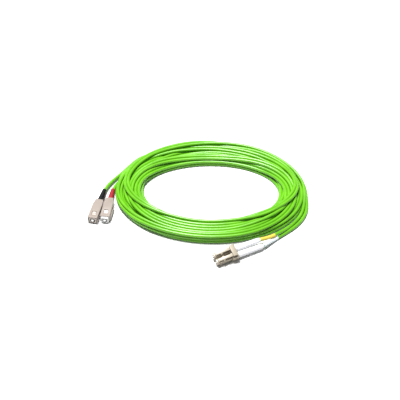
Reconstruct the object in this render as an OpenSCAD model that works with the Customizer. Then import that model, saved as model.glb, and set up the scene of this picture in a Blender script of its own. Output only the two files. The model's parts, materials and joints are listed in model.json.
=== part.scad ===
// Duplex fibre optic patch cord: two SC plugs, a coil of two-leg zip cord, and a clipped pair of LC plugs.
// Millimetres, +Z up. The cord lies on z = 0, and the origin is under the middle of the four plugs.
// Every plug is drawn about its own axis: +X points out of the plug, and x = 0 is its front face.

/* [Cord] */
// Outside diameter of one leg of the zip cord
cord_d = 3.0; // [2.8:0.1:3.1]
// Outside diameter of the coloured marker sleeves
sleeve_d = 3.4; // [3.3:0.1:3.6]

/* [Coil] */
// Half of the coil's outside length
coil_out_x = 88; // [87:0.5:89]
// Half of the coil's outside width
coil_out_y = 65; // [63:0.5:66]
// Half of the length of the eye in the middle
eye_x = 63.5; // [60:0.5:66]
// Half of the width of the eye
eye_y = 37.5; // [35:0.5:40]
// Height of the bundle of turns
coil_h = 10; // [8:0.5:12]

/* [SC plugs] */
// Width of the housing, across the faces with the hook windows
sc_w = 9.0; // [8.8:0.1:9.2]
// Thickness of the housing
sc_t = 7.4; // [7.2:0.1:7.6]
// Length of the housing
sc_len = 24; // [23.5:0.5:25]
// Travel of the housing along its plug frame
sc_travel = 1.8; // [1:0.1:2]
// Radius of the 2.5 mm ferrule
sc_ferrule_r = 1.25; // [1.25]
// Distance from the front face to the end of the boot
sc_boot_end = 39.5; // [38:0.5:42]

/* [LC plugs] */
// Side of the square body
lc_w = 4.5; // [4.4:0.05:4.6]
// Length of the body
lc_len = 16.2; // [16:0.1:17]
// Radius of the 1.25 mm ferrule
lc_ferrule_r = 0.625; // [0.625]
// Distance from the front face to the end of the boot
lc_boot_end = 45; // [43:0.5:47]
// Distance between the two plug axes
lc_pitch = 6.25; // [6.25]

/* [Hidden] */
$fn = 48;
slip = 0.12;              // gap beside a sliding face
wall_clear = 0.05;        // gap round a piece that sits in a pocket
cord_r = cord_d / 2;
beige = [0.84, 0.78, 0.72];
white = [0.95, 0.95, 0.94];
lime = [0.52, 0.90, 0.26];
steel = [0.72, 0.73, 0.75];
brass = [0.80, 0.66, 0.38];

// Layout of the coil: its outside and its eye are two ovals, turned alike and set a little apart
coil_centre = [32.5, 45.5];
eye_centre = [33.5, 43];
coil_turn = -2;

// Layout of the plugs: front face centre of each, and the heading of its +X
sc_a_at = [-73.2, 6.0, sc_t / 2];
sc_a_heading = 259.2;
sc_b_at = [-62.4, 6.0, sc_t / 2];
sc_b_heading = 263.5;
lc_at = [35.6, -40.3, 4.6];
lc_heading = 205;
lc_roll = -15;            // the pair leans on its near lower edge

// Inside of an SC plug
sc_frame_w = 7.2;
sc_frame_t = 5.6;
sc_frame_len = 20.6;
sc_snout_r = 2.45;        // room round the ferrule for the adapter's sleeve holder
sc_snout_depth = 6.6;
sc_web = 1.0;             // wall that the ferrule flange rests against
sc_cavity_r = 2.35;
sc_window = [4.4, 3.8];   // length and width of the hook window
sc_window_x = -6.0;
sc_key = [13, 1.9, 0.7];  // length, width and height of the key
sc_tip = 0.6;             // how far the ferrule stands out
sc_stop_x = -16.6;        // front of the stop body
sc_crimp_x = -29.5;       // rear end of the crimp ring

// Inside of an LC plug
lc_snout_r = 1.5;
lc_snout_depth = 5.0;
lc_web = 0.8;
lc_cavity_r = 1.5;
lc_tip = 0.6;
lc_stop_x = -13.2;
lc_crimp_x = -25;
latch_pivot = [-1.9, 2.95];  // x and z of the latch's root
trigger_pivot = [-19.4, 3.75];
clip_x = [-20.4, -14.2];
clip_half = [6.15, 3.0];  // half width and half height

// A point on the axis of an SC plug, and one on the axis of an LC plug
function sc_axis(at, heading, x) = at + x * [cos(heading), sin(heading), 0];
function lc_axis(side, x) =
    let (off = side * lc_pitch / 2)
        lc_at + x * [cos(lc_heading), sin(lc_heading), 0]
        + off * [-sin(lc_heading) * cos(lc_roll), cos(lc_heading) * cos(lc_roll), sin(lc_roll)];

// Routes of the four legs, from inside the boot into the coil
sc_boot_steps = [-29, -38, -41];
lc_boot_steps = [-24.6, -42, -45.4];
sc_a_leg_route = concat([for (x = sc_boot_steps) sc_axis(sc_a_at, sc_a_heading, x)], [
    [-63.6, 50.9, 3.4], [-59.9, 57.0, 2.9], [-54.8, 64.0, 2.2], [-49.9, 71.2, 1.8],
    [-45.2, 78.4, 1.6], [-39.8, 86.0, 1.6], [-33.0, 92.9, 1.6], [-24.8, 97.6, 1.6]
]);
sc_b_leg_route = concat([for (x = sc_boot_steps) sc_axis(sc_b_at, sc_b_heading, x)], [
    [-55.9, 51.6, 3.3], [-52.8, 57.8, 2.7], [-49.2, 64.6, 2.1], [-44.8, 72.2, 1.8],
    [-39.6, 80.0, 1.6], [-33.8, 87.4, 1.6], [-26.4, 93.0, 1.6], [-18.2, 95.6, 1.6]
]);
lc_a_leg_route = concat([for (x = lc_boot_steps) lc_axis(-1, x)], [
    [82.3, -16.1, 5.4], [88.4, -12.9, 5.2], [97.0, -6.4, 4.3], [105.6, 2.2, 2.4],
    [112.0, 11.2, 1.6], [116.2, 20.4, 1.6], [117.6, 30.0, 1.6], [116.6, 40.0, 1.6]
]);
lc_b_leg_route = concat([for (x = lc_boot_steps) lc_axis(1, x)], [
    [84.4, -18.2, 2.8], [91.0, -12.9, 1.9], [98.9, -7.0, 1.6], [105.6, -1.9, 1.6],
    [112.0, 4.6, 1.6], [117.2, 12.8, 1.6], [120.4, 22.0, 1.6], [121.4, 31.6, 1.6],
    [120.0, 41.2, 1.6], [116.4, 50.0, 1.6]
]);

// ---- Placing ----

// Puts a plug's own frame at a place on the table
module placed(at, heading, roll = 0) {
    translate(at) rotate([0, 0, heading]) rotate([roll, 0, 0]) children();
}

module at_sc_a() {
    placed(sc_a_at, sc_a_heading) children();
}

module at_sc_b() {
    placed(sc_b_at, sc_b_heading) children();
}

// side is -1 for the far plug of the LC pair and 1 for the near one
module at_lc(side) {
    placed(lc_at, lc_heading, lc_roll) translate([0, side * lc_pitch / 2, 0]) children();
}

// ---- Shapes ----

// Outline of a rectangle with rounded corners, centred
function round_rect(w, h, r, steps = 4) = [
    for (corner = [0:3], i = [0:steps])
        let (turn = corner * 90 + i * 90 / steps, sx = corner == 0 || corner == 3 ? 1 : -1, sy = corner < 2 ? 1 : -1)
            [sx * (w / 2 - r) + r * cos(turn), sy * (h / 2 - r) + r * sin(turn)]
];

// Extrudes a (y, z) outline from x0 forward
module along_x(x0, length) {
    translate([x0, 0, 0]) rotate([90, 0, 90]) linear_extrude(length) children();
}

// Turns a list of [radius, x] points round the plug's axis
module turned(points) {
    rotate([0, 90, 0]) rotate_extrude() polygon(points);
}

// A side view in (x, z), extruded across the plug's width
module side_view(width, points) {
    translate([0, width / 2, 0]) rotate([90, 0, 0]) linear_extrude(width) polygon(points);
}

// A plan view in (x, y), extruded through the plug's thickness
module plan_view(thickness, points) {
    translate([0, 0, -thickness / 2]) linear_extrude(thickness) polygon(points);
}

// A ring between two radii, from x0 forward
module ring(outer, inner, x0, length) {
    turned([[inner, x0], [outer, x0], [outer, x0 + length], [inner, x0 + length]]);
}

function unit(v) = v / norm(v);

// Directions along a list of points: across every point, from the one before to the one after
function headings(path) = [
    for (i = [0:len(path) - 1]) unit(path[min(i + 1, len(path) - 1)] - path[max(i - 1, 0)])
];

// One closed skin over rings of points that all have the same number of sides
module skin(points, sides) {
    last = len(points) / sides - 1;
    walls = [
        for (i = [0:last - 1], k = [0:sides - 1])
            let (next = (k + 1) % sides)
                [i * sides + k, i * sides + next, (i + 1) * sides + next, (i + 1) * sides + k]
    ];
    start = [for (k = [0:sides - 1]) sides - 1 - k];
    end = [for (k = [0:sides - 1]) last * sides + k];
    polyhedron(points = points, faces = concat(walls, [start, end]), convexity = 4);
}

// A rod swept along a path that stays near the horizontal
module swept(path, radius, sides) {
    along = headings(path);
    skin([
        for (i = [0:len(path) - 1], k = [0:sides - 1])
            let (across = unit(cross(along[i], [0, 0, 1])), up = cross(across, along[i]), turn = 360 * k / sides)
                path[i] + radius * (cos(turn) * across + sin(turn) * up)
    ], sides);
}

// A coil spring along the plug's axis
module spring(x0, length, mean_r, wire_r, turns) {
    steps = 12 * turns;
    sides = 5;
    skin([
        for (i = [0:steps], k = [0:sides - 1])
            let (turn = -360 * k / sides, out = mean_r + wire_r * cos(turn))
                [x0 + length * i / steps + wire_r * sin(turn), out * cos(30 * i), out * sin(30 * i)]
    ], sides);
}

// ---- SC plug ----

// Outside of the housing: straight for two thirds, then tapering to the boot
module sc_housing_outside() {
    taper = -sc_len + 7.5;
    intersection() {
        along_x(-sc_len, sc_len) polygon(round_rect(sc_w, sc_t, 0.7));
        plan_view(sc_t, [
            [0, -sc_w / 2 + 0.3], [-0.4, -sc_w / 2], [taper, -sc_w / 2], [-sc_len, -3.3],
            [-sc_len, 3.3], [taper, sc_w / 2], [-0.4, sc_w / 2], [0, sc_w / 2 - 0.3]
        ]);
        side_view(sc_w, [
            [0, -sc_t / 2 + 0.3], [-0.4, -sc_t / 2], [taper, -sc_t / 2], [-sc_len, -3.1],
            [-sc_len, 3.1], [taper, sc_t / 2], [-0.4, sc_t / 2], [0, sc_t / 2 - 0.3]
        ]);
    }
}

// Key on one narrow side, which lines the plug up with its adapter
module sc_housing_key(side) {
    translate([-2.3 - sc_key[0], side > 0 ? sc_w / 2 - 0.1 : -sc_w / 2 - sc_key[2], -sc_key[1] / 2])
        cube([sc_key[0], sc_key[2] + 0.1, sc_key[1]]);
}

// The sliding outer housing that the fingers hold
module sc_housing(key_side) {
    color(beige) difference() {
        union() {
            sc_housing_outside();
            sc_housing_key(key_side);
        }
        along_x(-sc_frame_len - 0.4, sc_len) square([sc_frame_w + 2 * slip, sc_frame_t + 2 * slip], center = true);
        ring(2.98, 0, -sc_len - 1, sc_len);
        translate([sc_window_x, 0, 0]) cube([sc_window[0], sc_window[1], 2 * sc_t], center = true);
        for (side = [-1, 1], i = [0:5]) {
            translate([-13 - 1.1 * i, side * (sc_w / 2), 0]) cube([0.5, 0.5, sc_t - 2.2], center = true);
        }
    }
}

// The inner frame that snaps into the adapter and holds the ferrule
module sc_plug_frame() {
    web_back = -sc_snout_depth - sc_web;
    pad_z = sc_frame_t / 2 + 0.5;
    color(white) difference() {
        union() {
            intersection() {
                along_x(-sc_frame_len, sc_frame_len) polygon(round_rect(sc_frame_w, sc_frame_t, 0.9));
                plan_view(sc_frame_t, [
                    [0, -sc_frame_w / 2 + 0.6], [-0.8, -sc_frame_w / 2], [-sc_frame_len, -sc_frame_w / 2],
                    [-sc_frame_len, sc_frame_w / 2], [-0.8, sc_frame_w / 2], [0, sc_frame_w / 2 - 0.6]
                ]);
            }
            for (side = [-1, 1]) {
                translate([-6.9, 0, side * (pad_z - 0.5)]) cube([2.2, 3.0, 1.0], center = true);
            }
        }
        ring(sc_snout_r, 0, -sc_snout_depth, sc_snout_depth + 1);
        ring(1.6, 0, web_back - 0.5, sc_web + 1);
        ring(sc_cavity_r, 0, -sc_frame_len - 1, sc_frame_len + 1 + web_back);
    }
}

// Zirconia ferrule: full size where it is bare, and thinner in the flange
module sc_ferrule() {
    color(white) turned([
        [0, -11], [1.0, -11], [1.0, -sc_snout_depth + 0.2], [sc_ferrule_r, -sc_snout_depth + 0.2],
        [sc_ferrule_r, sc_tip - 0.3], [0.95, sc_tip], [0, sc_tip]
    ]);
}

module sc_ferrule_flange() {
    front = -sc_snout_depth - sc_web - 0.1;
    color(steel) turned([
        [1.0, front], [2.1, front], [2.1, front - 1.6], [1.55, front - 1.6], [1.55, -11.6],
        [0.6, -11.6], [0.6, -11], [1.0, -11]
    ]);
}

module sc_spring() {
    front = -sc_snout_depth - sc_web - 1.7;
    color(steel) spring(sc_stop_x + 0.3, front - sc_stop_x - 0.6, 1.95, 0.2, 6);
}

// Rear body that closes the frame, with the stub that the aramid yarn is crimped on
module sc_stop_body() {
    color(steel) turned([
        [0.9, sc_stop_x], [2.3, sc_stop_x], [2.3, -sc_frame_len - 0.05], [1.9, -sc_frame_len - 0.05],
        [1.9, -26.5], [0.9, -26.5]
    ]);
}

module sc_crimp_ring() {
    color(brass) turned([
        [1.92, -26.5], [1.92, -21.4], [2.3, -21.4], [2.3, -26.9], [1.85, -27.4], [1.85, sc_crimp_x],
        [cord_r + wall_clear, sc_crimp_x], [cord_r + wall_clear, -27.1], [1.92, -27.1]
    ]);
}

// Coated fibre between the ferrule and the cord
module fibre(front, back) {
    color(white) ring(0.45, 0, back, front - back);
}

// Tapered boot that keeps the leg from kinking
module sc_boot(colour) {
    nose = -21.9;
    bore = cord_r + wall_clear;
    color(colour) turned([
        [2.4, nose], [2.85, nose], [2.85, -26.2], [1.95, -sc_boot_end + 0.4], [1.75, -sc_boot_end],
        [bore, -sc_boot_end], [bore, sc_crimp_x - 0.2], [1.95, sc_crimp_x - 0.2], [2.4, -27]
    ]);
}

// ---- LC plug ----

module lc_body() {
    web_back = -lc_snout_depth - lc_web;
    color(beige) difference() {
        intersection() {
            along_x(-lc_len, lc_len) polygon(round_rect(lc_w, lc_w, 0.35, 2));
            plan_view(lc_w, [
                [0, -lc_w / 2 + 0.35], [-0.6, -lc_w / 2], [-lc_len, -lc_w / 2],
                [-lc_len, lc_w / 2], [-0.6, lc_w / 2], [0, lc_w / 2 - 0.35]
            ]);
        }
        ring(lc_snout_r, 0, -lc_snout_depth, lc_snout_depth + 1);
        ring(0.8, 0, web_back - 0.5, lc_web + 1);
        ring(lc_cavity_r, 0, -lc_len - 1, lc_len + 1 + web_back);
    }
}

// Springy arm on top of the body, with the two shoulders that catch in the adapter
module lc_latch() {
    root = lc_w / 2 + 0.1;
    color(beige) union() {
        side_view(2.5, [
            [-1.2, root], [-1.2, root + 0.8], [-1.8, root + 1.05], [-8.5, 4.35], [-15.0, 5.0],
            [-15.6, 4.9], [-15.6, 4.2], [-15.0, 4.1], [-8.4, 3.55], [-3.4, root + 0.45], [-3.0, root]
        ]);
        side_view(4.3, [[-5.6, 3.1], [-5.9, 3.75], [-7.3, 3.95], [-7.3, 3.35]]);
        translate([latch_pivot[0], 0, latch_pivot[1]]) rotate([90, 0, 0]) cylinder(r = 0.45, h = 3.1, center = true);
    }
}

module lc_ferrule() {
    color(white) turned([
        [0, -7.8], [0.42, -7.8], [0.42, -lc_snout_depth + 0.2], [lc_ferrule_r, -lc_snout_depth + 0.2],
        [lc_ferrule_r, lc_tip - 0.2], [0.45, lc_tip], [0, lc_tip]
    ]);
}

module lc_ferrule_flange() {
    front = -lc_snout_depth - lc_web - 0.1;
    color(steel) turned([
        [0.42, front], [1.35, front], [1.35, front - 1.2], [0.95, front - 1.2], [0.95, -8.4],
        [0.3, -8.4], [0.3, -7.8], [0.42, -7.8]
    ]);
}

module lc_spring() {
    front = -lc_snout_depth - lc_web - 1.3;
    color(steel) spring(lc_stop_x + 0.25, front - lc_stop_x - 0.5, 1.2, 0.15, 6);
}

module lc_stop_body() {
    color(steel) turned([
        [0.6, lc_stop_x], [1.45, lc_stop_x], [1.45, -lc_len - 0.05], [2.0, -lc_len - 0.05],
        [2.0, -lc_len - 0.9], [1.3, -lc_len - 0.9], [1.3, -21.4], [0.6, -21.4]
    ]);
}

module lc_crimp_ring() {
    color(brass) turned([
        [1.32, -21.4], [1.32, -17.3], [1.7, -17.3], [1.7, -21.9], [1.85, -22.2], [1.85, lc_crimp_x],
        [cord_r + wall_clear, lc_crimp_x], [cord_r + wall_clear, -22.1], [1.32, -22.1]
    ]);
}

module lc_boot() {
    nose = -17.6;
    bore = cord_r + wall_clear;
    color(white) turned([
        [1.95, nose], [2.15, nose], [2.15, clip_x[0] - 0.1], [2.6, clip_x[0] - 0.1], [2.6, -24],
        [2.15, -lc_boot_end + 1], [1.85, -lc_boot_end], [bore, -lc_boot_end],
        [bore, lc_crimp_x - 0.2], [1.95, lc_crimp_x - 0.2]
    ]);
}

// ---- Duplex clip ----

// Moulded clip that holds the two LC plugs side by side and carries the trigger
module clip() {
    length = clip_x[1] - clip_x[0];
    color(beige) difference() {
        union() {
            along_x(clip_x[0], length) polygon(round_rect(2 * clip_half[0], 2 * clip_half[1], 0.6, 3));
            for (side = [-1, 1]) {
                translate([0, side * (clip_half[0] - 0.45), 0]) side_view(0.8, [
                    [-20.2, 2.5], [-20.2, 4.2], [-19.8, 4.6], [-19.0, 4.6], [-18.2, 3.6], [-17.6, 2.5]
                ]);
            }
        }
        for (side = [-1, 1]) {
            translate([0, side * lc_pitch / 2, 0]) {
                along_x(-lc_len - 0.1, lc_len) square(lc_w + 2 * wall_clear, center = true);
                ring(2.2, 0, clip_x[0] - 1, length + 1);
            }
        }
        translate([-15.3, 0, clip_half[1]]) cube([3.2, 1.2, 8], center = true);
        translate([trigger_pivot[0], 0, trigger_pivot[1]]) rotate([90, 0, 0])
            cylinder(r = 0.5, h = 4 * clip_half[0], center = true);
    }
}

// Lever across both latches: one press frees both plugs
module trigger() {
    color(beige) union() {
        translate([trigger_pivot[0], 0, trigger_pivot[1]]) rotate([90, 0, 0])
            cylinder(r = 0.45, h = 2 * clip_half[0] - 0.2, center = true);
        side_view(2 * clip_half[0] - 1.9, [
            [-20.0, 3.5], [-20.0, 4.2], [-18.3, 6.0], [-17.6, 6.3], [-14.9, 6.3], [-14.6, 6.0],
            [-14.7, 5.6], [-17.2, 5.4], [-18.9, 3.7], [-19.1, 3.3], [-19.7, 3.3]
        ]);
    }
}

// ---- Cord ----

module leg(route) {
    color(lime) swept(route, cord_r, 8);
}

// Marker sleeve slipped over a leg, from just behind the boot to a point of its route
module sleeve(route, last, colour) {
    stretch = [for (i = [2:last]) route[i]];
    longer = [for (i = [1:last + 1]) route[i]];
    color(colour) difference() {
        swept(stretch, sleeve_d / 2, 12);
        swept(longer, cord_r + 0.02, 8);
    }
}

// An oval of 60 points, its half length and half width drawn in by an inset
module oval(half_x, half_y, inset) {
    polygon([for (i = [0:59]) [(half_x - inset) * cos(6 * i), (half_y - inset) * sin(6 * i)]]);
}

module coil_layer(z0, z1, inset) {
    translate([0, 0, z0]) linear_extrude(z1 - z0) difference() {
        translate(coil_centre) rotate(coil_turn) oval(coil_out_x, coil_out_y, inset);
        translate(eye_centre) rotate(coil_turn) oval(eye_x, eye_y, -inset);
    }
}

// Outer shape of the coiled turns
module coil() {
    color(lime) union() {
        coil_layer(0, 1.2, 1.2);
        coil_layer(1.2, coil_h - 3, 0);
        coil_layer(coil_h - 3, coil_h, 3);
    }
}

// ---- Nodes ----

module sc_a_housing() { at_sc_a() sc_housing(-1); }
module sc_a_plug_frame() { at_sc_a() sc_plug_frame(); }
module sc_a_ferrule() { at_sc_a() sc_ferrule(); }
module sc_a_ferrule_flange() { at_sc_a() sc_ferrule_flange(); }
module sc_a_spring() { at_sc_a() sc_spring(); }
module sc_a_stop_body() { at_sc_a() sc_stop_body(); }
module sc_a_crimp_ring() { at_sc_a() sc_crimp_ring(); }
module sc_a_fibre() { at_sc_a() fibre(-11.65, -24); }
module sc_a_boot() { at_sc_a() sc_boot([0.08, 0.08, 0.09]); }
module sc_a_leg() { leg(sc_a_leg_route); }

module sc_b_housing() { at_sc_b() translate([-sc_travel, 0, 0]) sc_housing(1); }
module sc_b_plug_frame() { at_sc_b() sc_plug_frame(); }
module sc_b_ferrule() { at_sc_b() sc_ferrule(); }
module sc_b_ferrule_flange() { at_sc_b() sc_ferrule_flange(); }
module sc_b_spring() { at_sc_b() sc_spring(); }
module sc_b_stop_body() { at_sc_b() sc_stop_body(); }
module sc_b_crimp_ring() { at_sc_b() sc_crimp_ring(); }
module sc_b_fibre() { at_sc_b() fibre(-11.65, -24); }
module sc_b_boot() { at_sc_b() sc_boot([0.82, 0.12, 0.15]); }
module sc_b_leg() { leg(sc_b_leg_route); }

module lc_a_body() { at_lc(-1) lc_body(); }
module lc_a_latch() { at_lc(-1) lc_latch(); }
module lc_a_ferrule() { at_lc(-1) lc_ferrule(); }
module lc_a_ferrule_flange() { at_lc(-1) lc_ferrule_flange(); }
module lc_a_spring() { at_lc(-1) lc_spring(); }
module lc_a_stop_body() { at_lc(-1) lc_stop_body(); }
module lc_a_crimp_ring() { at_lc(-1) lc_crimp_ring(); }
module lc_a_fibre() { at_lc(-1) fibre(-8.45, -20); }
module lc_a_boot() { at_lc(-1) lc_boot(); }
module lc_a_leg() { leg(lc_a_leg_route); }

module lc_b_body() { at_lc(1) lc_body(); }
module lc_b_latch() { at_lc(1) lc_latch(); }
module lc_b_ferrule() { at_lc(1) lc_ferrule(); }
module lc_b_ferrule_flange() { at_lc(1) lc_ferrule_flange(); }
module lc_b_spring() { at_lc(1) lc_spring(); }
module lc_b_stop_body() { at_lc(1) lc_stop_body(); }
module lc_b_crimp_ring() { at_lc(1) lc_crimp_ring(); }
module lc_b_fibre() { at_lc(1) fibre(-8.45, -20); }
module lc_b_boot() { at_lc(1) lc_boot(); }
module lc_b_leg() { leg(lc_b_leg_route); }

module duplex_clip() { placed(lc_at, lc_heading, lc_roll) clip(); }
module clip_trigger() { placed(lc_at, lc_heading, lc_roll) trigger(); }
module yellow_sleeve() { sleeve(lc_a_leg_route, 4, [0.93, 0.83, 0.20]); }
module clear_sleeve() { sleeve(lc_b_leg_route, 4, [0.90, 0.92, 0.93]); }
module cord_coil() { coil(); }

sc_a_housing();
sc_a_plug_frame();
sc_a_ferrule();
sc_a_ferrule_flange();
sc_a_spring();
sc_a_stop_body();
sc_a_crimp_ring();
sc_a_fibre();
sc_a_boot();
sc_a_leg();
sc_b_housing();
sc_b_plug_frame();
sc_b_ferrule();
sc_b_ferrule_flange();
sc_b_spring();
sc_b_stop_body();
sc_b_crimp_ring();
sc_b_fibre();
sc_b_boot();
sc_b_leg();
lc_a_body();
lc_a_latch();
lc_a_ferrule();
lc_a_ferrule_flange();
lc_a_spring();
lc_a_stop_body();
lc_a_crimp_ring();
lc_a_fibre();
lc_a_boot();
lc_a_leg();
lc_b_body();
lc_b_latch();
lc_b_ferrule();
lc_b_ferrule_flange();
lc_b_spring();
lc_b_stop_body();
lc_b_crimp_ring();
lc_b_fibre();
lc_b_boot();
lc_b_leg();
duplex_clip();
clip_trigger();
yellow_sleeve();
clear_sleeve();
cord_coil();
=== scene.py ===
import json
import math

import bpy
import numpy as np
from mathutils import Matrix, Vector
from mathutils.kdtree import KDTree


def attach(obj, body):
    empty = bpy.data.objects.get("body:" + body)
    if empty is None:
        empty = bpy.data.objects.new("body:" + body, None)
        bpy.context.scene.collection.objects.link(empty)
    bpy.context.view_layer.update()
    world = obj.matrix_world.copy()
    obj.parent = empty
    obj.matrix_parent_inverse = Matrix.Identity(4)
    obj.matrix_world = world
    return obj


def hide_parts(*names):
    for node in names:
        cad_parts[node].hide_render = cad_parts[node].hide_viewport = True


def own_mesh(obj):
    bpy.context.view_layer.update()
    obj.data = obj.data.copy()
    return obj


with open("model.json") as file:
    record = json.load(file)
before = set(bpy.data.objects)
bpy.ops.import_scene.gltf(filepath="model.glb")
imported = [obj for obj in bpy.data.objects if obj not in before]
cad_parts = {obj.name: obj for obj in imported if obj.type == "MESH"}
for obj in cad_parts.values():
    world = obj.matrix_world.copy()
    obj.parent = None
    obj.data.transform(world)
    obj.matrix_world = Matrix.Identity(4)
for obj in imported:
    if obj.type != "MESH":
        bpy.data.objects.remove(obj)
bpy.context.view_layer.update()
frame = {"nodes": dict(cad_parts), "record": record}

nodes = frame["nodes"]
bodies = frame["record"]["behaviour"]["bodies"]
MM = 0.001

# ---- Camera ----
# A 68 mm lens on a 36 mm frame, about 0.7 m from the coil, looking down at 45.6 degrees along +Y.
# Its place, how far down it looks and its lens are all that aim it.
LOOKS_DOWN = 45.568               # degrees below level
bpy.ops.object.select_all(action="DESELECT")
bpy.ops.object.camera_add(
    location=(22.97 * MM, -454.4 * MM, 499.4 * MM), rotation=(math.radians(90 - LOOKS_DOWN), 0, 0)
)
camera = bpy.context.object
camera.name = "camera"
camera.data.lens = 68.04
camera.data.clip_start = 0.01
camera.data.clip_end = 20
bpy.context.scene.camera = camera

# ---- Duplex cord ----
# Two 3 mm legs of lime green PVC zip cord. Only the jacket is modelled, as a solid round.
# They are wound together, clockwise from above, into an oval of about eleven and a half turns.
# The pair turns over as it is wound, and later turns cross over the first ones at the ends.
JACKET = 3.0 * MM
STEPS = 96                        # stations in one turn
TURN_AT_START = 130.0             # where the first turn begins, in degrees round the oval
TURN_AT_END = -6.0                # where the last turn leaves it
WHOLE_TURNS = 11
ROUNDS = 900                      # small steps in which the coil settles
ON_TABLE = 1.55                   # lowest centreline while it settles, in mm
BY_EDGE = 1.5                     # nearest that a centreline comes to the band's edges, in mm
# Ovals of the coil's outside and of its eye: centre, half length and half width in mm, turn in
# degrees, then how far each leaves a true oval, for one, two and three waves round it
OUTSIDE = (31.2, 45.5, 88.9, 64.4, -2.2, 0.009, -0.007, 0.0, -0.013)
EYE = (33.7, 43.1, 63.7, 37.8, -1.7, 0.0, -0.008, -0.004, 0.0075)
# Lane of each turn, 0 by the eye and 3 on the outside: first at the far side, then at the near side
LANES = [
    (3, 3), (2, 2), (1, 1), (0, 0), (1, 2), (2, 3), (2, 1), (1, 1), (0, 2), (0, 3), (3, 0), (3, 3)
]
STRAND_GAP = JACKET / MM + 0.04
TURN_GAP = JACKET / MM + 0.20     # between strands of two turns, which lie more loosely
# Middles of the places where the pair turns over, in degrees wound, so that neither leg is
# outside all the way
TURNS_OVER = (-275.0, -1140.0, -2920.0)
TURNING = 75.0                    # degrees wound while it turns over


def on_oval(oval, angle):
    """Points of an oval at these angles, in mm."""
    cx, cy, half_x, half_y, turn, one, two, three, three_sine = oval
    t = math.radians(turn)
    swell = 1 + one * np.cos(angle) + two * np.cos(2 * angle)
    swell = swell + three * np.cos(3 * angle) + three_sine * np.sin(3 * angle)
    x, y = half_x * swell * np.cos(angle), half_y * swell * np.sin(angle)
    turned_x = cx + x * math.cos(t) - y * math.sin(t)
    turned_y = cy + x * math.sin(t) + y * math.cos(t)
    return np.stack([turned_x, turned_y], -1)


def eased(t):
    """Eases from 0 to 1."""
    t = np.clip(t, 0, 1)
    return t * t * (3 - 2 * t)


def lane_along(angle):
    """The lane that the cord keeps to at each angle. It changes at the two ends of the oval."""
    stops = []
    for turn, (far, near) in enumerate(LANES):
        stops += [(90 - 360 * turn, far), (-90 - 360 * turn, near)]
    wound_by = np.degrees(angle)
    lane = np.full(len(wound_by), float(stops[0][1]))
    for i, ((a, from_lane), (b, to_lane)) in enumerate(zip(stops[:-1], stops[1:])):
        middle = (a + b) / 2 + 14 * math.sin(2.1 * i + 0.4)
        lane += (to_lane - from_lane) * eased((middle + 62 - wound_by) / 124)
    return lane


def pushed_clear(place, turns, strands, times=3):
    """Moves strands that are too close at a station apart, across the bundle."""
    same = np.arange(turns * 2) // 2
    gap = np.where(same[:, None] == same, STRAND_GAP, TURN_GAP)
    for _ in range(times):
        at = place.reshape(turns, STEPS, 2, 2).transpose(1, 0, 2, 3).reshape(STEPS, turns * 2, 2)
        between = at[:, :, None] - at[:, None]
        dist = np.linalg.norm(between, axis=-1) + np.eye(turns * 2) * 1e3
        close = np.clip(gap - dist, 0, 1.5) * strands[:, :, None] * strands[:, None, :]
        at = at + ((0.42 * close / np.maximum(dist, 0.05))[..., None] * between).sum(2)
        place = at.reshape(STEPS, turns, 2, 2).transpose(1, 0, 2, 3).reshape(-1, 2, 2)
    return place


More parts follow.
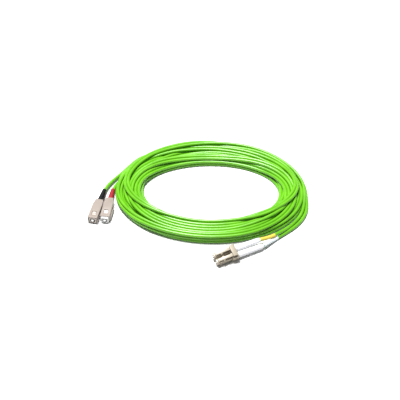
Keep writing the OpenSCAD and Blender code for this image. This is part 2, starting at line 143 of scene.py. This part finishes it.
def wind_coil():
    """Both legs' centrelines through the coil, in mm."""
    total = TURN_AT_START - TURN_AT_END + 360 * WHOLE_TURNS
    count = int(round(total / 360 * STEPS)) + 1
    index = np.arange(count)
    angle = np.radians(TURN_AT_START - index * 360 / STEPS)
    outer, inner = on_oval(OUTSIDE, angle), on_oval(EYE, angle)
    band = np.linalg.norm(outer - inner, axis=1)
    outward = (outer - inner) / band[:, None]
    turns = int(math.ceil(count / STEPS))
    # The first leg starts on the side away from the eye, and changes sides as the pair turns over
    wound_by = np.degrees(angle)
    over = sum(eased((at + TURNING / 2 - wound_by) / TURNING) for at in TURNS_OVER) * math.pi
    lean = STRAND_GAP / 2 * np.stack([np.cos(over), np.abs(np.sin(over))], -1)
    turning = np.abs(np.sin(over)) > 0.02

    # Place across the band with a slow drift, and height: later turns start higher, and come down
    drift = 1.5 * np.sin(angle * 0.37 + 1.0) + 1.2 * np.sin(angle * 0.83 + 2.0)
    across = ((lane_along(angle) + 0.5) / 4 * band + drift)[:, None] + lean[:, :1] * (1, -1)
    height = (1.6 + 3.4 * index / STEPS)[:, None] + lean[:, 1:] * (1, -1)
    ends = (
        (slice(0, 3), np.array([[band[0] - 1.6, 1.6], [band[0] - 4.7, 1.6]])),
        (slice(count - 3, count), np.array([[band[-1] - 1.0, 1.6], [band[-1] + 2.2, 1.6]])),
    )
    # Room at the outside for the last turn, as it leaves
    room = 3.6 * eased((index - (count - 14)) / 12)

    # Stations past the end of the cord are parked far away
    place = 1e4 + 50.0 * np.arange(turns * STEPS)[:, None, None] * np.ones((1, 2, 2))
    place[:count] = np.stack([across, height], -1)
    live = (np.arange(turns * STEPS) < count).reshape(turns, STEPS).T
    strands = np.repeat(live[:, :, None], 2, 2).reshape(STEPS, -1)
    for step in range(ROUNDS):
        left = 1 - step / ROUNDS
        path = place[:count]
        # gravity, and a pull towards the lane that fades
        path[:, :, 1] -= 0.16 * (0.35 + 0.65 * left)
        path[:, :, 0] += (0.004 + 0.018 * left) * (across - path[:, :, 0])
        # the jacket is springy, so it keeps to a smooth line
        for _ in range(3):
            path[1:-1] += 0.30 * (path[:-2] + path[2:] - 2 * path[1:-1])
        fourth = 4 * (path[1:-3] + path[3:-1]) - path[:-4] - path[4:] - 6 * path[2:-2]
        path[2:-2] += fourth / 60
        # the two legs stay side by side
        apart = path[:, 0] - path[:, 1]
        far = np.linalg.norm(apart, axis=1, keepdims=True)
        path[:, 0] -= 0.5 * (far - STRAND_GAP) * apart / far
        path[:, 1] += 0.5 * (far - STRAND_GAP) * apart / far
        middle = path[turning].mean(1)
        path[turning] = np.stack([middle + lean[turning], middle - lean[turning]], 1)
        place[:count] = path
        place = pushed_clear(place, turns, strands)
        path = place[:count]
        path[:, :, 1] = np.maximum(path[:, :, 1], ON_TABLE)
        path[:, :, 0] = np.clip(path[:, :, 0], BY_EDGE, (band - BY_EDGE + room)[:, None])
        # the first and last turn come in along the surface, outside the others
        for end, fixed in ends:
            path[end] = fixed
        place[:count] = path
    path = place[:count]
    flat = inner[:, None] + outward[:, None] * path[:, :, :1]
    return np.concatenate([flat, path[:, :, 1:]], -1)


LC_PITCH = 6.25                   # mm between the axes of the LC pair


def on_plug_axis(at, heading, roll, side, xs):
    """Points on a plug's axis, in mm: x runs out of the plug, and side is the place in a pair."""
    a, tilt, off = math.radians(heading), math.radians(roll), side * LC_PITCH / 2
    sideways = (-math.sin(a) * math.cos(tilt), math.cos(a) * math.cos(tilt), math.sin(tilt))
    ahead = (math.cos(a), math.sin(a), 0)
    return [tuple(at[i] + x * ahead[i] + off * sideways[i] for i in range(3)) for x in xs]


# Plugs: front face centre in mm, heading of +X, roll, and place in the pair
PLUGS = {
    "sc_a": ((-73.2, 6.0, 3.7), 259.2, 0, 0), "sc_b": ((-62.4, 6.0, 3.7), 263.5, 0, 0),
    "lc_a": ((35.6, -40.3, 4.6), 205, -15, -1), "lc_b": ((35.6, -40.3, 4.6), 205, -15, 1),
}
# The legs' free stretches, from inside each boot to the coil
free_stretch = {
    "sc_a": on_plug_axis(*PLUGS["sc_a"], (-29, -38, -41)) + [
        (-63.6, 50.9, 3.4), (-59.9, 57.0, 2.9), (-54.8, 64.0, 2.2), (-49.9, 71.2, 1.8),
        (-45.2, 78.4, 1.6), (-39.8, 86.0, 1.6), (-33.0, 92.9, 1.6)
    ],
    "sc_b": on_plug_axis(*PLUGS["sc_b"], (-29, -38, -41)) + [
        (-55.9, 51.6, 3.3), (-52.8, 57.8, 2.7), (-49.2, 64.6, 2.1), (-44.8, 72.2, 1.8),
        (-39.6, 80.0, 1.6), (-33.8, 87.4, 1.6)
    ],
    "lc_a": on_plug_axis(*PLUGS["lc_a"], (-24.6, -42, -45.4)) + [
        (82.3, -16.1, 5.4), (88.4, -12.9, 5.2), (97.0, -6.4, 4.3), (105.6, 2.2, 2.4),
        (112.0, 11.2, 1.6), (116.2, 20.4, 1.6)
    ],
    "lc_b": on_plug_axis(*PLUGS["lc_b"], (-24.6, -42, -45.4)) + [
        (84.4, -18.2, 2.8), (91.0, -12.9, 1.9), (98.9, -7.0, 1.6), (105.6, -1.9, 1.6),
        (112.0, 4.6, 1.6), (117.2, 12.8, 1.6), (120.4, 22.0, 1.6)
    ],
}


def rounded(points, spacing):
    """A smooth line through these points, with a point about every so many mm."""
    p = np.array(points, float)
    p = np.vstack([2 * p[0] - p[1], p, 2 * p[-1] - p[-2]])
    out = []
    for a, b, c, d in zip(p[:-3], p[1:-2], p[2:-1], p[3:]):
        parts = max(2, int(round(np.linalg.norm(c - b) / spacing)))
        for t in np.arange(parts) / parts:
            square, cube = 2 * a - 5 * b + 4 * c - d, 3 * b - a - 3 * c + d
            out.append(0.5 * (2 * b + (c - a) * t + square * t**2 + cube * t**3))
    return np.array(out + [p[-2]])


LOWEST = JACKET / MM / 2 + 0.01    # height of a centreline that lies on the table, in mm


def settled(points, spacing, passes):
    """A line of evenly spaced points along these ones, with the small kinks eased out of it."""
    p = rounded(points, spacing)
    along = np.concatenate([[0], np.cumsum(np.linalg.norm(np.diff(p, axis=0), axis=1))])
    even = np.linspace(0, along[-1], int(round(along[-1] / spacing)) + 1)
    p = np.stack([np.interp(even, along, p[:, axis]) for axis in range(3)], -1)
    for _ in range(passes):
        p[1:-1] += 0.25 * (p[:-2] + p[2:] - 2 * p[1:-1])
    p[:, 2] = np.maximum(p[:, 2], LOWEST)
    return p


def laid_over(lines, clear=2.86, rounds=60, held=12):
    """Eases lines apart where they would pass through each other: the later one goes over.
    clear is how near they may come in mm, and held how many points at each end stay in place."""
    flat = np.vstack(lines)
    leg = np.repeat(np.arange(len(lines)), [len(line) for line in lines])
    step = np.concatenate([np.arange(len(line)) for line in lines])
    moved = np.zeros_like(flat)
    for _ in range(rounds):
        at = flat + moved
        tree = KDTree(len(at))
        for i, q in enumerate(at):
            tree.insert(q, i)
        tree.balance()
        for i, q in enumerate(at):
            for other, j, dist in tree.find_range(q, clear):
                if j > i and (leg[i] != leg[j] or j - i > 8):
                    away = q - np.array(other)
                    if dist < 2.3:
                        away[2] += 1.5 if step[i] > step[j] else -1.5
                    away *= 0.3 * (clear - dist) / np.linalg.norm(away)
                    moved[i] += away
                    moved[j] -= away
        for k in range(len(lines)):
            shift = moved[leg == k]
            for _ in range(4):
                shift[:held] = shift[-held:] = 0
                shift[1:-1] += 0.25 * (shift[:-2] + shift[2:] - 2 * shift[1:-1])
            moved[leg == k] = shift
        moved[:, 2] = np.maximum(moved[:, 2], LOWEST - flat[:, 2])
    return [(flat + moved)[leg == k] for k in range(len(lines))]


def alone(piece):
    """Selects one piece, in object mode."""
    bpy.ops.object.select_all(action="DESELECT")
    piece.select_set(True)
    bpy.context.view_layer.objects.active = piece


def round_cord(name, line, radius, swell=None):
    """A round cord along a line in mm, with its thickness varied by swell at each point."""
    curve = bpy.data.curves.new(name, "CURVE")
    curve.dimensions = "3D"
    spline = curve.splines.new("POLY")
    spline.points.add(len(line) - 1)
    for i, (point, q) in enumerate(zip(spline.points, line)):
        point.co = (*(Vector(q) * MM), 1)
        point.radius = 1 if swell is None else swell(i)
    curve.bevel_depth = radius
    curve.bevel_resolution = 6
    curve.use_fill_caps = True
    made = bpy.data.objects.new(name, curve)
    bpy.context.scene.collection.objects.link(made)
    alone(made)
    bpy.ops.object.convert(target="MESH")
    made = bpy.context.object
    bpy.ops.object.shade_smooth_by_angle(angle=math.radians(50))
    return made


wound = wind_coil()
LEGS = (("leg_a", "sc_a", "lc_a"), ("leg_b", "sc_b", "lc_b"))
routes = [
    free_stretch[front] + [tuple(q) for q in wound[3:-3:2, leg]] + free_stretch[back][::-1]
    for leg, (name, front, back) in enumerate(LEGS)
]
lines = laid_over([settled(route, 1.6, 24) for route in routes])
legs = {}
for leg, (name, front, back) in enumerate(LEGS):
    line = np.vstack([lines[leg][:-1:2], lines[leg][-1:]])
    legs[name] = (round_cord(name, line, JACKET / 2), line, front, back)
    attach(legs[name][0], "cord_and_plugs")
    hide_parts(front + "_leg", back + "_leg", *(["cord_coil"] if leg == 0 else []))

# The web that joins the legs shows as a shallow seam between them, all the way round the coil
WEB = 0.30 * MM                   # half the web's thickness
web = round_cord("zip_web", settled([tuple(q) for q in wound[4:-4:2].mean(1)], 4.2, 4), WEB)
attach(web, "cord_and_plugs")


class Signal:
    """One socket of a finish. Sums and products of it become Math nodes."""

    def __init__(self, tree, socket=None):
        self.tree, self.socket = tree, socket

    def node(self, kind, settings=(), values=(), out=0):
        """A new node: its type, its settings, then the values or links of its sockets."""
        made = self.tree.nodes.new(kind)
        for name, value in dict(settings).items():
            setattr(made, name, value)
        for name, value in dict(values).items():
            if isinstance(value, Signal):
                self.tree.links.new(value.socket, made.inputs[name])
            else:
                made.inputs[name].default_value = value
        return Signal(self.tree, made.outputs[out])

    def maths(self, operation, first, second):
        return self.node("ShaderNodeMath", {"operation": operation}, {0: first, 1: second})

    def __add__(self, other):
        return self.maths("ADD", self, other)

    def __sub__(self, other):
        return self.maths("SUBTRACT", self, other)

    def __mul__(self, other):
        return self.maths("MULTIPLY", self, other)

    def __rsub__(self, other):
        return self.maths("SUBTRACT", other, self)

    __radd__, __rmul__ = __add__, __mul__

    def mixed(self, first, second):
        """A colour from first to second, by this signal."""
        return self.node("ShaderNodeMix", {"data_type": "RGBA"}, {0: self, 6: first, 7: second}, 2)


def finish(name, light, dark, rough, grain, patch, metal=0.0, spread=0.10, **fixed):
    """A finish: two shades in soft patches, a roughness that varies a little, and a fine grain.
    grain is its scale in bumps a metre and its strength, patch is the scale of the patches, spread
    is how far the roughness varies, and fixed holds any other sockets' values."""
    made = bpy.data.materials.new(name)
    made.use_nodes = True
    tree = made.node_tree
    shader = tree.nodes["Principled BSDF"]
    start = Signal(tree)
    here = start.node("ShaderNodeTexCoord", out=3)
    patches = start.node("ShaderNodeTexNoise", (), {"Vector": here, "Scale": patch, "Detail": 3.0})
    grains = {"Vector": here, "Scale": grain[0] * 3.0, "Detail": 2.0}
    fine = start.node("ShaderNodeTexNoise", (), grains)
    colour = (patches * 1.6 - 0.3).mixed((*dark, 1), (*light, 1))
    roughness = patches * spread + fine * spread + (rough - spread)
    raised = {"Height": fine, "Strength": grain[1] * 10, "Distance": 0.00002}
    bump = start.node("ShaderNodeBump", (), raised)
    tree.links.new(colour.socket, shader.inputs["Base Color"])
    tree.links.new(roughness.socket, shader.inputs["Roughness"])
    tree.links.new(bump.socket, shader.inputs["Normal"])
    shader.inputs["Metallic"].default_value = metal
    for socket, value in fixed.items():
        shader.inputs[socket.replace("_", " ")].default_value = value
    return made


jacket = finish("lime_jacket", (0.138, 0.44, 0.012), (0.084, 0.31, 0.006), 0.30, (1400, 0.02), 60)
for piece in (legs["leg_a"][0], legs["leg_b"][0], web):
    piece.data.materials.append(jacket)

# ---- Moulded plugs, frames and clip ----
# Beige and white thermoplastic, injection moulded. Every edge has a small radius from its mould.
# The housings slide on their frames, the latch arms bend, and the clip's lever turns on its pins.
beige, pale_beige, frame_beige, frame_white = (
    finish(name, light, dark, rough, (1500, bumps), 90) for name, light, dark, rough, bumps in (
        ("beige_moulding", (0.30, 0.255, 0.225), (0.25, 0.21, 0.18), 0.36, 0.03),
        ("pale_beige_moulding", (0.40, 0.355, 0.28), (0.33, 0.285, 0.215), 0.34, 0.03),
        ("beige_frame_moulding", (0.52, 0.465, 0.425), (0.45, 0.40, 0.36), 0.32, 0.02),
        ("white_frame_moulding", (0.66, 0.66, 0.65), (0.60, 0.60, 0.60), 0.32, 0.02),
    )
)


def body_of(node):
    """The body that a CAD node rides on."""
    return next(b for b, members in bodies.items() if node in members)


def slot_of(node):
    """The material slot of a CAD node."""
    return next(s["material_slot"] for s in frame["record"]["subparts"] if s["node"] == node)


def moulded(node, radius, material):
    """A node's own shape with its mould's radius on every edge, if it has one."""
    piece = nodes[node].copy()
    piece.data = nodes[node].data.copy()
    piece.name = node + "_moulded"
    for key in list(piece.keys()):
        if key.startswith("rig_"):
            del piece[key]
    piece.parent = None
    bpy.context.scene.collection.objects.link(piece)
    alone(piece)
    bpy.ops.object.mode_set(mode="EDIT")
    bpy.ops.mesh.select_all(action="SELECT")
    bpy.ops.mesh.remove_doubles(threshold=0.000002)
    bpy.ops.mesh.dissolve_limited(angle_limit=math.radians(1.5))
    bpy.ops.object.mode_set(mode="OBJECT")
    if radius:
        bevel = piece.modifiers.new("mould radius", "BEVEL")
        bevel.width, bevel.segments, bevel.limit_method = radius, 2, "ANGLE"
        bevel.angle_limit = math.radians(30)
        bevel.use_clamp_overlap = True
        bpy.ops.object.modifier_apply(modifier=bevel.name)
    bpy.ops.object.shade_smooth_by_angle(angle=math.radians(40 if radius else 80))
    piece.data.materials.clear()
    piece.data.materials.append(material)
    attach(piece, body_of(node))
    slot_of(node)
    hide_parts(node)
    return piece


for plug in ("sc_a", "sc_b"):
    moulded(plug + "_housing", 0.22 * MM, beige)
    moulded(plug + "_plug_frame", 0.12 * MM, frame_white if plug == "sc_b" else frame_beige)
for plug in ("lc_a", "lc_b"):
    moulded(plug + "_body", 0.12 * MM, pale_beige)
    moulded(plug + "_latch", 0.10 * MM, pale_beige)
moulded("duplex_clip", 0.14 * MM, pale_beige)
moulded("clip_trigger", 0.16 * MM, pale_beige)

# ---- Inside the plugs ----
# Polished zirconia ferrules in steel flanges, pushed forward by steel springs. Turned steel
# stop bodies close the plugs, and brass rings crimp the cord's yarn onto them.
ceramic = finish(
    "zirconia", (0.90, 0.90, 0.88), (0.86, 0.86, 0.84), 0.14, (2000, 0.005), 200, spread=0.04
)
steel, brass = (
    finish(name, light, dark, rough, (2500, 0.04), 500, metal=1.0) for name, light, dark, rough in (
        ("turned_steel", (0.62, 0.63, 0.65), (0.50, 0.51, 0.53), 0.34),
        ("turned_brass", (0.78, 0.57, 0.26), (0.66, 0.46, 0.20), 0.36),
    )
)
coating = finish("buffered_fibre", (0.88, 0.88, 0.86), (0.82, 0.82, 0.80), 0.45, (2500, 0.02), 300)
INSIDE = {
    "ferrule": ceramic, "ferrule_flange": steel, "stop_body": steel, "crimp_ring": brass,
    "fibre": coating,
}
SPRING_FOOT = {"sc": -16.3, "lc": -12.95}   # where it stands on the stop body, in mm along the plug
for plug in PLUGS:
    for part, material in INSIDE.items():
        piece = nodes[f"{plug}_{part}"]
        piece.data.materials.clear()
        piece.data.materials.append(material)
        for face in piece.data.polygons:
            face.material_index = 0
    # The real spring shortens as the ferrule is pushed back, but here it is only its node's shape
    # in steel, given its own mesh; its foot on the stop body and a point ahead of it are found
    # along the plug's axis and not used
    wire = moulded(plug + "_spring", 0, steel)
    foot, ahead = on_plug_axis(*PLUGS[plug], (SPRING_FOOT[plug[:2]], SPRING_FOOT[plug[:2]] + 1))
    plug + "_ferrule_slide"
    [b - a for a, b in zip(foot, ahead)]
    [c * MM for c in foot]
    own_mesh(wire)

# ---- Boots ----
# Soft elastomer strain reliefs, moulded round the crimp and drawn out thinner along the leg.
# Each is black, red or white, and rings cut in the SC boots let them bend.
BOOT_FINISH = {
    "sc_a": finish(
        "black_elastomer", (0.009, 0.010, 0.011), (0.005, 0.005, 0.006), 0.55, (900, 0.06), 150,
        Specular_IOR_Level=0.22
    ),
    "sc_b": finish(
        "red_elastomer", (0.34, 0.016, 0.026), (0.27, 0.010, 0.018), 0.50, (900, 0.06), 150
    ),
    "lc_a": finish(
        "white_elastomer", (0.82, 0.82, 0.85), (0.77, 0.78, 0.81), 0.50, (900, 0.05), 150
    ),
}
BOOT_FINISH["lc_b"] = BOOT_FINISH["lc_a"]
BORE = 1.56                       # round the leg
SC_BOOT = [(-21.95, 2.45), (-21.95, 2.80), (-22.3, 2.85), (-26.0, 2.85), (-26.6, 2.70)]
for groove in range(6):
    x = -28.0 - 1.75 * groove
    r = 2.66 - 0.066 * (-26.6 - x)
    SC_BOOT += [(x, r), (x - 0.15, r - 0.30), (x - 0.65, r - 0.34), (x - 0.8, r - 0.05)]
SC_BOOT += [
    (-39.1, 1.88), (-39.5, 1.72), (-39.5, BORE), (-30.0, BORE), (-29.75, 1.95), (-27.0, 2.45)
]
LC_BOOT = [
    (-20.55, 1.75), (-20.55, 2.45), (-20.8, 2.58), (-24.2, 2.56), (-33.0, 2.40), (-42.6, 2.24),
    (-43.4, 2.16), (-43.6, 1.98), (-44.7, 1.90), (-45.0, 1.78), (-45.0, BORE), (-25.3, BORE),
    (-25.2, 1.75)
]


def drawn_out(name, rings, sides=40):
    """A hollow round piece along X, drawn out ring by ring: each ring is (x, radius) in mm."""
    bpy.ops.object.select_all(action="DESELECT")
    x0, r0 = rings[0]
    bpy.ops.mesh.primitive_circle_add(
        vertices=sides, radius=r0 * MM, location=(x0 * MM, 0, 0), rotation=(0, math.pi / 2, 0)
    )
    piece = bpy.context.object
    piece.name = name
    bpy.ops.object.transform_apply()
    bpy.ops.object.mode_set(mode="EDIT")
    bpy.ops.mesh.select_all(action="SELECT")
    for (xa, ra), (xb, rb) in zip(rings, rings[1:] + rings[:1]):
        bpy.ops.mesh.extrude_region_move(TRANSFORM_OT_translate={"value": ((xb - xa) * MM, 0, 0)})
        bpy.ops.transform.resize(value=(1, rb / ra, rb / ra), center_override=(xb * MM, 0, 0))
    bpy.ops.mesh.select_all(action="SELECT")
    bpy.ops.mesh.remove_doubles(threshold=0.000001)
    bpy.ops.mesh.normals_make_consistent(inside=False)
    bpy.ops.object.mode_set(mode="OBJECT")
    bpy.ops.object.shade_smooth_by_angle(angle=math.radians(35))
    return piece


def set_on_plug(piece, plug):
    """Puts a piece drawn in a plug's own frame onto that plug."""
    at, heading, roll, side = PLUGS[plug]
    headed = Matrix.Rotation(math.radians(heading), 4, "Z")
    rolled = Matrix.Rotation(math.radians(roll), 4, "X")
    beside = Matrix.Translation((0, side * LC_PITCH / 2 * MM, 0))
    piece.data.transform(Matrix.Translation(Vector(at) * MM) @ (headed @ rolled) @ beside)
    return piece


for profile, pair in ((SC_BOOT, ("sc_a", "sc_b")), (LC_BOOT, ("lc_a", "lc_b"))):
    first = drawn_out(pair[0] + "_strain_relief", profile)
    second = first.copy()
    second.data = first.data.copy()
    second.name = pair[1] + "_strain_relief"
    bpy.context.scene.collection.objects.link(second)
    for piece, plug in ((first, pair[0]), (second, pair[1])):
        set_on_plug(piece, plug)
        piece.data.materials.append(BOOT_FINISH[plug])
        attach(piece, "cord_and_plugs")
        slot_of(plug + "_boot")
        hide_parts(plug + "_boot")

# ---- Marker sleeves ----
# Short lengths of heat-shrink tube that tell the two LC legs apart: yellow on the far one, and
# milky clear on the near one. Shrinking leaves them a little uneven along the leg.
SLEEVE_WALL = 0.22 * MM
SLEEVE_FINISH = {
    "yellow_sleeve": finish(
        "yellow_shrink", (0.62, 0.50, 0.07), (0.54, 0.41, 0.045), 0.32, (700, 0.08), 200
    ),
    "clear_sleeve": finish(
        "milky_shrink", (0.70, 0.77, 0.79), (0.62, 0.70, 0.73), 0.24, (700, 0.08), 200
    ),
}


def uneven(i):
    """How thick a shrunk sleeve is at its i-th point."""
    return 1 + 0.025 * math.sin(1.3 * i) * math.sin(0.41 * i + 1)


for sleeve, plug in (("yellow_sleeve", "lc_a"), ("clear_sleeve", "lc_b")):
    run = rounded(free_stretch[plug], 1.0)
    start = int(np.argmin(np.linalg.norm(run - np.array(free_stretch[plug][2]), axis=1)))
    stop = int(np.argmin(np.linalg.norm(run - np.array(free_stretch[plug][4]), axis=1)))
    piece = round_cord(sleeve + "_shrunk", run[start:stop + 1], JACKET / 2 + SLEEVE_WALL, uneven)
    piece.data.materials.append(SLEEVE_FINISH[sleeve])
    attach(piece, "cord_and_plugs")
    slot_of(sleeve)
    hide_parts(sleeve)

# Each leg runs from inside its SC boot to its LC plug; for each, a point inside its SC boot is put
# into metres and not used
for name, (leg, line, front, back) in legs.items():
    [c * MM for c in free_stretch[front][1]]

# ---- Floor and light ----
# A plain pale sheet under soft studio light: one square lamp overhead, and a dim even room.
bpy.ops.object.select_all(action="DESELECT")
bpy.ops.mesh.primitive_plane_add(size=6, location=(0, 0, 0))
floor = bpy.context.object
floor.name = "floor"
paper = bpy.data.materials.new("paper")
paper.use_nodes = True
paper.node_tree.nodes["Principled BSDF"].inputs["Base Color"].default_value = (0.70, 0.70, 0.70, 1)
paper.node_tree.nodes["Principled BSDF"].inputs["Roughness"].default_value = 0.9
floor.data.materials.append(paper)

world = bpy.data.worlds.new("studio")
world.use_nodes = True
world.node_tree.nodes["Background"].inputs["Color"].default_value = (1, 1, 1, 1)
world.node_tree.nodes["Background"].inputs["Strength"].default_value = 0.24
bpy.context.scene.world = world
bpy.ops.object.light_add(type="AREA", location=(-0.16, 0.22, 1.25))
lamp = bpy.context.object
lamp.name = "lamp"
lamp.data.size = 0.35
lamp.data.energy = 38
lamp.rotation_euler = (Vector((0.03, 0.04, 0)) - lamp.location).to_track_quat("-Z", "Y").to_euler()

bpy.context.scene.view_settings.view_transform = "Standard"
